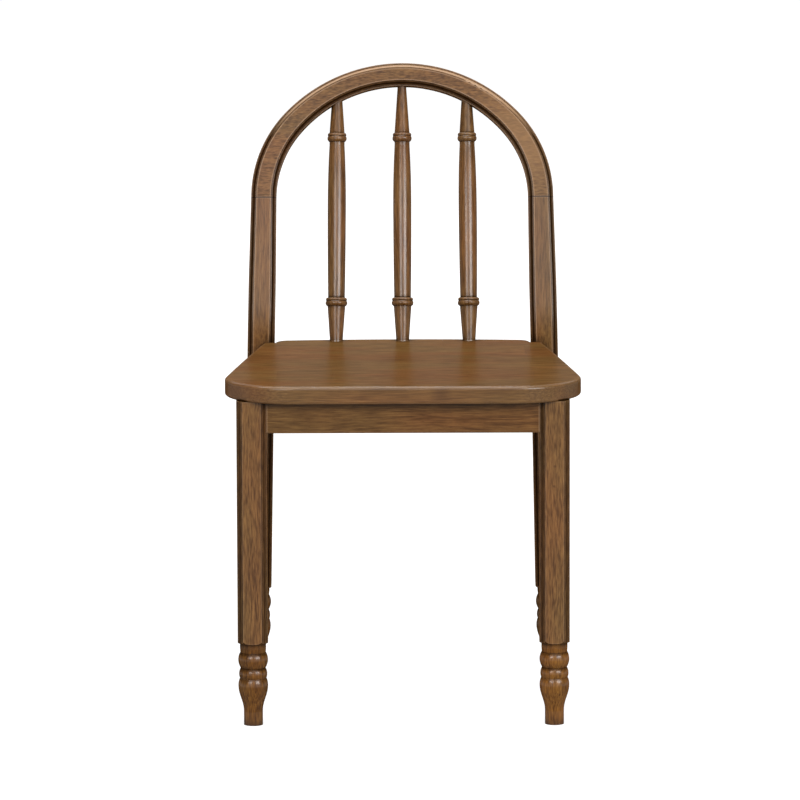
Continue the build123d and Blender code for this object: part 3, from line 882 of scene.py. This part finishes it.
@dataclass
class HoopedBack(Dressed):
    """The rear posts, the arched rail that joins them, the spindles and the hidden dowels."""

    rake: float = BACK_RAKE
    spindle_tone: float = 0.97
    rail_width: float = 25.0 * MM
    # Painted highlight: a paler golden patch on the hoop's right shoulder.
    highlight_patch_place: Triple = (0.112, 0.150, 0.490)
    highlight_patch_radius: float = 65.0 * MM
    highlight_patch_colour: Triple = (0.28, 0.145, 0.058)

    def joint_level(self) -> float:
        """Height of the butt joint along the lean of the back.

        Returns:
            Distance of the joint's plane from the origin.
        """
        up = up_along(self.rake)
        return max(vertex.co.dot(up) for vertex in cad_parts["right_rear_post"].data.vertices)

    def rim(self) -> WipedHighlitRim:
        """The lightened rim of the hoop, a painted highlight partly wiped clean of stain, from the size of
        its solid.

        Returns:
            The rim.
        """
        up = up_along(self.rake)
        points = [vertex.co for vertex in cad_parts["arched_top_rail"].data.vertices]
        level = self.joint_level()
        rise = max(point.dot(up) for point in points) - level - self.rail_width / 2
        return WipedHighlitRim(level, max(point.x for point in points) - self.rail_width / 2, rise, 0.5 * rise)

    def finishes(self) -> dict[str, StainedWood | RawWood]:
        """The finish of each piece of the back."""
        hooped = {"rake": self.rake, "glue_height": self.joint_level(), "shade_and_glaze": 0.35, "moulded": 0.92}
        post = {
            **hooped,
            "splay": REAR_LEG_RAKE,
            "fleck_weight": 1.3,
            "turned_below": FOOT_HEIGHT,
            "hollow": 18.0 * MM,
            "lacquer": Lacquer(0.7),
        }
        highlight_patch = Mark(self.highlight_patch_place, self.highlight_patch_radius, strength=0.45, colour=self.highlight_patch_colour)
        hoop = {
            **hooped,
            "red": 0.55,
            "tone": 0.95,
            "fleck_rate": 0.2,
            "rim": self.rim(),
            "marks": (highlight_patch,),
            "lacquer": Lacquer(0.55),
        }
        turned = {
            "rake": self.rake,
            "tone": self.spindle_tone,
            "hollow": 7.0 * MM,
            "shade_and_glaze": 0.5,
            "lacquer": Lacquer(0.93),
        }
        return {
            "right_rear_post": StainedWood("right_post_wood", Grain.UPRIGHT, 8.0, tone=0.98, **post),
            "left_rear_post": StainedWood("left_post_wood", Grain.UPRIGHT, 9.0, tone=1.02, **post),
            "arched_top_rail": StainedWood("hoop_wood", Grain.ACROSS, 10.0, **hoop),
            "left_spindle": StainedWood("left_spindle_wood", Grain.UPRIGHT, 11.0, **turned),
            "centre_spindle": StainedWood("centre_spindle_wood", Grain.UPRIGHT, 12.0, **turned),
            "right_spindle": StainedWood("right_spindle_wood", Grain.UPRIGHT, 13.0, **turned),
            "right_rail_dowels": RawWood("right_dowel_wood", Grain.UPRIGHT, 18.0, rake=self.rake),
            "left_rail_dowels": RawWood("left_dowel_wood", Grain.UPRIGHT, 19.0, rake=self.rake),
        }


class Bench:
    """Hand tools for modelling: selecting, joining and applying."""

    @staticmethod
    def clear() -> None:
        """Lets go of everything."""
        bpy.ops.object.select_all(action="DESELECT")

    @staticmethod
    def take(*pieces: bpy.types.Object) -> None:
        """Selects pieces, the first one active.

        Args:
            *pieces: What to select.
        """
        Bench.clear()
        for piece in pieces:
            piece.select_set(True)
        bpy.context.view_layer.objects.active = pieces[0]

    @staticmethod
    def select_edges(piece: bpy.types.Object, wanted: Callable[[Vector, Vector], bool]) -> None:
        """Selects edges of a piece in edit mode.

        Args:
            piece: The piece, in edit mode.
            wanted: Test on the two ends of an edge.
        """
        bpy.ops.mesh.select_all(action="DESELECT")
        bpy.ops.mesh.select_mode(type="EDGE")
        shape = bmesh.from_edit_mesh(piece.data)
        for edge in shape.edges:
            edge.select_set(wanted(edge.verts[0].co, edge.verts[1].co))
        shape.select_flush_mode()
        bmesh.update_edit_mesh(piece.data)

    @staticmethod
    def select_faces(piece: bpy.types.Object, wanted: Callable[[Vector, Vector], bool]) -> None:
        """Selects faces of a piece in edit mode.

        Args:
            piece: The piece, in edit mode.
            wanted: Test on the middle and normal of a face.
        """
        bpy.ops.mesh.select_all(action="DESELECT")
        bpy.ops.mesh.select_mode(type="FACE")
        shape = bmesh.from_edit_mesh(piece.data)
        for face in shape.faces:
            face.select_set(wanted(face.calc_center_median(), face.normal))
        shape.select_flush_mode()
        bmesh.update_edit_mesh(piece.data)

    @staticmethod
    def join(pieces: list[bpy.types.Object], name: str) -> bpy.types.Object:
        """Joins pieces into one.

        Args:
            pieces: What to join.
            name: Name of the result.

        Returns:
            The joined piece.
        """
        Bench.take(*pieces)
        bpy.ops.object.join()
        joined = bpy.context.object
        joined.name = name
        joined.data.name = name
        return joined


@dataclass(frozen=True)
class ScrewPlace:
    """Where a screw sits: the top of its head, the way it points and its whole length."""

    top: Vector
    direction: Vector
    length: float


@dataclass
class Fasteners:
    """Zinc screws with pan heads, cross recesses, threads and points, in the corner blocks."""

    head_radius: float = 3.8 * MM
    head_height: float = 2.6 * MM
    head_crown: float = 1.3 * MM
    recess_reach: float = 2.1 * MM
    recess_width: float = 0.95 * MM
    recess_depth: float = 1.5 * MM
    core_radius: float = 1.45 * MM
    thread_radius: float = 2.0 * MM
    pitch: float = 1.6 * MM
    point_length: float = 4.0 * MM
    plain_neck: float = 5.0 * MM
    recess_taper: float = 0.55
    point_taper: float = 0.06
    smooth_angle: float = 40.0
    head_sides: int = 40
    crown_rings: int = 6
    core_sides: int = 24
    steps_per_turn: int = 16
    finish: ZincSteel = field(default_factory=lambda: ZincSteel("bright_zinc"))

    def build(self) -> None:
        """Models the screws of each node and lets them stand for it."""
        material = self.finish.material()
        for node in ("corner_block_screws", "seat_screws"):
            places = self.places(node)
            pattern = self.screw(places[0].length)
            copies = [self.copy_to(pattern, place) for place in places]
            bpy.data.objects.remove(pattern)
            piece = Bench.join(copies, node.replace("screws", "screw_set"))
            piece.data.materials.clear()
            piece.data.materials.append(material)
            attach(piece, ROOT)
            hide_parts(node)
            LOG.info("modelled %s, %d screws", piece.name, len(places))

    def places(self, node: str) -> list[ScrewPlace]:
        """Reads from the solids where the screws of a node sit.

        Args:
            node: Name of the node.

        Returns:
            The place of each screw.
        """
        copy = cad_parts[node].copy()
        copy.data = copy.data.copy()
        bpy.context.scene.collection.objects.link(copy)
        Bench.take(copy)
        bpy.ops.object.mode_set(mode="EDIT")
        bpy.ops.mesh.select_all(action="SELECT")
        bpy.ops.mesh.remove_doubles(threshold=0.01 * MM)
        bpy.ops.mesh.separate(type="LOOSE")
        bpy.ops.object.mode_set(mode="OBJECT")
        solids = list(bpy.context.selected_objects)
        places = [self.place_of([vertex.co.copy() for vertex in solid.data.vertices]) for solid in solids]
        for solid in solids:
            bpy.data.objects.remove(solid)
        return places

    def place_of(self, points: list[Vector]) -> ScrewPlace:
        """The place of one screw.

        Args:
            points: Points of its solid.

        Returns:
            Its place, with the head at the end where the solid is wide.
        """
        low = Vector([min(point[axis] for point in points) for axis in range(3)])
        high = Vector([max(point[axis] for point in points) for axis in range(3)])
        size = high - low
        along = max(range(3), key=lambda axis: size[axis])
        middle = (low + high) / 2
        ends = []
        for level in (low[along], high[along]):
            end = middle.copy()
            end[along] = level
            reach = max((point - end).length for point in points if abs(point[along] - level) < 0.1 * MM)
            ends.append((reach, end))
        (_, tip), (_, top) = sorted(ends, key=lambda pair: pair[0])
        return ScrewPlace(top, (tip - top).normalized(), size[along])

    def screw(self, length: float) -> bpy.types.Object:
        """Models one screw that points down from the origin.

        Args:
            length: From the top of the head to the point.

        Returns:
            The screw.
        """
        screw = Bench.join([self.pan_head(), self.shank(length), self.thread(length)], "screw_pattern")
        bpy.ops.object.shade_smooth_by_angle(angle=math.radians(self.smooth_angle))
        return screw

    def pan_head(self) -> bpy.types.Object:
        """The crowned head with its cross recess.

        Returns:
            The head.
        """
        Bench.clear()
        size = {"radius": self.head_radius, "depth": self.head_height}
        middle = (0, 0, -self.head_height / 2)
        bpy.ops.mesh.primitive_cylinder_add(vertices=self.head_sides, location=middle, **size)
        head = bpy.context.object
        bpy.ops.object.transform_apply(location=True, rotation=True, scale=True)
        bpy.ops.object.mode_set(mode="EDIT")
        Bench.select_edges(head, lambda first, second: min(first.z, second.z) > -0.1 * MM)
        crown = {"offset": self.head_crown, "segments": self.crown_rings}
        bpy.ops.mesh.bevel(profile=0.5, affect="EDGES", **crown)
        bpy.ops.object.mode_set(mode="OBJECT")
        for turn in (0.0, 90.0):
            self.cut(head, self.recess_arm(turn))
        return head

    def recess_arm(self, turn: float) -> bpy.types.Object:
        """One bar of the cross, narrower towards its floor.

        Args:
            turn: Its turn about the screw in degrees.

        Returns:
            The cutter.
        """
        Bench.clear()
        bpy.ops.mesh.primitive_cube_add(size=1.0)
        arm = bpy.context.object
        arm.scale = (2 * self.recess_reach, self.recess_width, 2 * self.recess_depth)
        arm.rotation_euler.z = math.radians(turn)
        bpy.ops.object.transform_apply(location=True, rotation=True, scale=True)
        bpy.ops.object.mode_set(mode="EDIT")
        Bench.select_faces(arm, lambda middle, normal: normal.z < -0.9)
        bpy.ops.transform.resize(value=(self.recess_taper, self.recess_taper, 1.0))
        bpy.ops.object.mode_set(mode="OBJECT")
        return arm

    def cut(self, piece: bpy.types.Object, cutter: bpy.types.Object) -> None:
        """Takes a cutter's shape out of a piece.

        Args:
            piece: The piece.
            cutter: The shape, which is used up.
        """
        Bench.take(piece)
        modifier = piece.modifiers.new("recess", "BOOLEAN")
        modifier.operation = "DIFFERENCE"
        modifier.solver = "EXACT"
        modifier.object = cutter
        bpy.ops.object.modifier_apply(modifier=modifier.name)
        bpy.data.objects.remove(cutter)

    def shank(self, length: float) -> bpy.types.Object:
        """The core under the head, drawn out to a point.

        Args:
            length: From the top of the head to the point.

        Returns:
            The shank.
        """
        Bench.clear()
        depth = length - self.head_height - self.point_length
        middle = (0, 0, -self.head_height - depth / 2)
        size = {"radius": self.core_radius, "depth": depth}
        bpy.ops.mesh.primitive_cylinder_add(vertices=self.core_sides, location=middle, **size)
        shank = bpy.context.object
        bpy.ops.object.transform_apply(location=True, rotation=True, scale=True)
        bpy.ops.object.mode_set(mode="EDIT")
        Bench.select_faces(shank, lambda centre, normal: normal.z < -0.9)
        down = {"value": (0, 0, -self.point_length)}
        bpy.ops.mesh.extrude_region_move(TRANSFORM_OT_translate=down)
        bpy.ops.transform.resize(value=(self.point_taper, self.point_taper, 1.0))
        bpy.ops.object.mode_set(mode="OBJECT")
        return shank

    def thread(self, length: float) -> bpy.types.Object:
        """The ridge that winds round the core.

        Args:
            length: From the top of the head to the point.

        Returns:
            The thread.
        """
        Bench.clear()
        ridge = self.thread_radius - self.core_radius
        start = -self.head_height - self.plain_neck
        turns = int((length - self.head_height - self.plain_neck - self.point_length) / self.pitch)
        bpy.ops.mesh.primitive_circle_add(vertices=3, radius=ridge, fill_type="NOTHING")
        thread = bpy.context.object
        thread.rotation_euler = (math.radians(90), math.radians(90), 0)
        thread.location = (self.core_radius, 0, start)
        bpy.ops.object.transform_apply(location=True, rotation=True, scale=True)
        wind = thread.modifiers.new("wind", "SCREW")
        wind.axis = "Z"
        wind.angle = math.tau * turns
        wind.screw_offset = -self.pitch * turns
        wind.steps = self.steps_per_turn * turns
        wind.render_steps = wind.steps
        bpy.ops.object.modifier_apply(modifier=wind.name)
        bpy.ops.object.mode_set(mode="EDIT")
        bpy.ops.mesh.select_all(action="SELECT")
        bpy.ops.mesh.fill_holes(sides=3)
        bpy.ops.mesh.select_all(action="SELECT")
        bpy.ops.mesh.normals_make_consistent(inside=False)
        bpy.ops.object.mode_set(mode="OBJECT")
        return thread

    def copy_to(self, pattern: bpy.types.Object, place: ScrewPlace) -> bpy.types.Object:
        """Copies the screw to a place, with its own mesh.

        Args:
            pattern: The screw at the origin.
            place: Where it goes.

        Returns:
            The copy.
        """
        Bench.take(pattern)
        bpy.ops.object.duplicate(linked=False)
        copy = bpy.context.object
        copy.location = place.top
        copy.rotation_euler = Vector((0, 0, -1)).rotation_difference(place.direction).to_euler()
        bpy.ops.object.transform_apply(location=True, rotation=True, scale=True)
        return copy


@dataclass(frozen=True)
class SoftPanel:
    """A soft studio panel round the chair; its width and height are angles seen from there."""

    name: str
    azimuth: float
    elevation: float
    width: float
    height: float
    brightness: float
    distance: float = 4.0


@dataclass(frozen=True)
class Studio:
    """Plain pale floor, soft studio light and the photograph's camera."""

    floor_radius: float = 80.0
    floor_colour: float = 0.3
    floor_glow_near: float = 0.8
    floor_glow_far: float = 0.92
    floor_glow_reach: tuple[float, float] = (0.5, 3.0)
    floor_sides: int = 96
    world_horizon: float = 0.10
    world_zenith: float = 0.22
    world_rise: tuple[float, float] = (0.05, 0.9)
    sun_strength: float = 0.4
    sun_spread: float = 60.0
    sun_azimuth: float = 5.0
    sun_elevation: float = 48.0
    sun_distance: float = 4.0
    panels: tuple[SoftPanel, ...] = (
        SoftPanel("right_panel", 36.0, 15.0, 29.0, 12.0, 17.0),
        SoftPanel("left_panel", -22.0, 15.0, 22.0, 12.0, 12.0),
        SoftPanel("front_panel", 4.0, 23.5, 26.0, 9.0, 3.4, 1.55),
        SoftPanel("ceiling_panel", 0.0, 78.0, 40.0, 18.0, 8.5),
        SoftPanel("upper_left_panel", -75.0, 55.0, 16.0, 14.0, 9.0),
        SoftPanel("back_panel", 180.0, 38.0, 9.0, 16.0, 16.0),
        SoftPanel("backdrop_panel", 180.0, 11.0, 50.0, 16.0, 1.8),
        SoftPanel("back_left_panel", -145.0, 35.0, 30.0, 24.0, 2.0),
        SoftPanel("back_right_panel", 145.0, 35.0, 30.0, 24.0, 2.0),
    )
    camera_elevation: float = 8.6
    camera_distance: float = 6.0
    camera_lens: float = 304.0
    camera_roll: float = 0.18
    camera_reach: float = 200.0
    aim_height: float = 0.2957
    aim_left: float = 0.00266

    def build(self) -> None:
        """Sets up all of it."""
        self.floor()
        self.world()
        self.sun()
        for panel in self.panels:
            self.panel(panel)
        self.camera()
        bpy.context.scene.view_settings.view_transform = "Standard"
        LOG.info("set up the studio")

    def floor(self) -> None:
        """A wide pale floor that shows white and keeps the chair's shadow."""
        Bench.clear()
        size = {"vertices": self.floor_sides, "radius": self.floor_radius}
        bpy.ops.mesh.primitive_circle_add(fill_type="NGON", **size)
        floor = bpy.context.object
        floor.name = "studio_floor"
        material, graph = new_material("pale_floor")
        matt = graph.add("ShaderNodeBsdfDiffuse", {"Color": (*[self.floor_colour] * 3, 1.0)})
        path = graph.add("ShaderNodeLightPath")
        seen = graph.maths("MAXIMUM", path.outputs["Is Camera Ray"], path.outputs["Is Glossy Ray"])
        seen = graph.maths("MAXIMUM", seen, path.outputs["Is Transmission Ray"])
        away = graph.add("ShaderNodeVectorMath", {0: graph.place()}, operation="LENGTH").outputs["Value"]
        strength = graph.span(away, *self.floor_glow_reach, self.floor_glow_near, self.floor_glow_far)
        glow = graph.add("ShaderNodeEmission", {"Strength": graph.maths("MULTIPLY", seen, strength)})
        both = graph.add("ShaderNodeAddShader", {0: matt.outputs[0], 1: glow.outputs[0]})
        graph.add("ShaderNodeOutputMaterial", {"Surface": both.outputs[0]})
        floor.data.materials.append(material)

    def world(self) -> None:
        """Soft grey light that grows from the horizon to overhead."""
        world = bpy.data.worlds.new("studio_world")
        bpy.context.scene.world = world
        world.use_nodes = True
        graph = NodeGraph(world.node_tree)
        direction = graph.add("ShaderNodeTexCoord").outputs["Generated"]
        height = graph.add("ShaderNodeSeparateXYZ", {0: direction}).outputs["Z"]
        strength = graph.span(height, *self.world_rise, self.world_horizon, self.world_zenith)
        background = graph.add("ShaderNodeBackground", {"Strength": strength})
        graph.add("ShaderNodeOutputWorld", {"Surface": background.outputs[0]})

    def sun(self) -> None:
        """A broad far lamp from the front and above, even over the whole floor."""
        lamp = bpy.data.lights.new("front_key", "SUN")
        lamp.energy = self.sun_strength
        lamp.angle = math.radians(self.sun_spread)
        sun = bpy.data.objects.new("front_key", lamp)
        self.place(sun, self.sun_azimuth, self.sun_elevation, self.sun_distance)

    def panel(self, panel: SoftPanel) -> None:
        """Adds a soft panel.

        Args:
            panel: Its place, size and brightness.
        """
        lamp = bpy.data.lights.new(panel.name, "AREA")
        lamp.shape = "RECTANGLE"
        lamp.size = 2 * panel.distance * math.tan(math.radians(panel.width / 2))
        lamp.size_y = 2 * panel.distance * math.tan(math.radians(panel.height / 2))
        lamp.energy = panel.brightness * math.pi * lamp.size * lamp.size_y
        self.place(bpy.data.objects.new(panel.name, lamp), panel.azimuth, panel.elevation, panel.distance)

    def place(self, lamp: bpy.types.Object, azimuth: float, elevation: float, distance: float) -> None:
        """Puts a lamp round the chair, facing it.

        Args:
            lamp: The lamp.
            azimuth: Degrees to the right of the front.
            elevation: Degrees above the floor.
            distance: Metres from the chair.
        """
        bpy.context.scene.collection.objects.link(lamp)
        turn, rise = math.radians(azimuth), math.radians(elevation)
        away = Vector((math.sin(turn) * math.cos(rise), -math.cos(turn) * math.cos(rise), math.sin(rise)))
        lamp.location = Vector((0, 0, self.aim_height)) + away * distance
        lamp.rotation_euler = (-away).to_track_quat("-Z", "Y").to_euler()

    def camera(self) -> None:
        """The photograph's camera: a long lens from the front and a little above."""
        data = bpy.data.cameras.new("photo_camera")
        data.lens = self.camera_lens
        data.clip_end = self.camera_reach
        camera = bpy.data.objects.new("photo_camera", data)
        bpy.context.scene.collection.objects.link(camera)
        rise = math.radians(self.camera_elevation)
        away = Vector((0.0, -math.cos(rise), math.sin(rise)))
        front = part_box("left_front_leg")[0].y
        camera.location = Vector((-self.aim_left, front, self.aim_height)) + away * self.camera_distance
        roll = Quaternion((0, 0, 1), -math.radians(self.camera_roll))
        camera.rotation_euler = ((-away).to_track_quat("-Z", "Y") @ roll).to_euler()
        bpy.context.scene.camera = camera


def main() -> None:
    """Dresses the chair piece by piece and sets up the studio."""
    logging.basicConfig(level=logging.INFO)
    for part in (FrontLegs(), SeatFrame(), Seat(), HoopedBack(), Fasteners()):
        part.build()
    Studio().build()


if __name__ == "__main__":
    main()
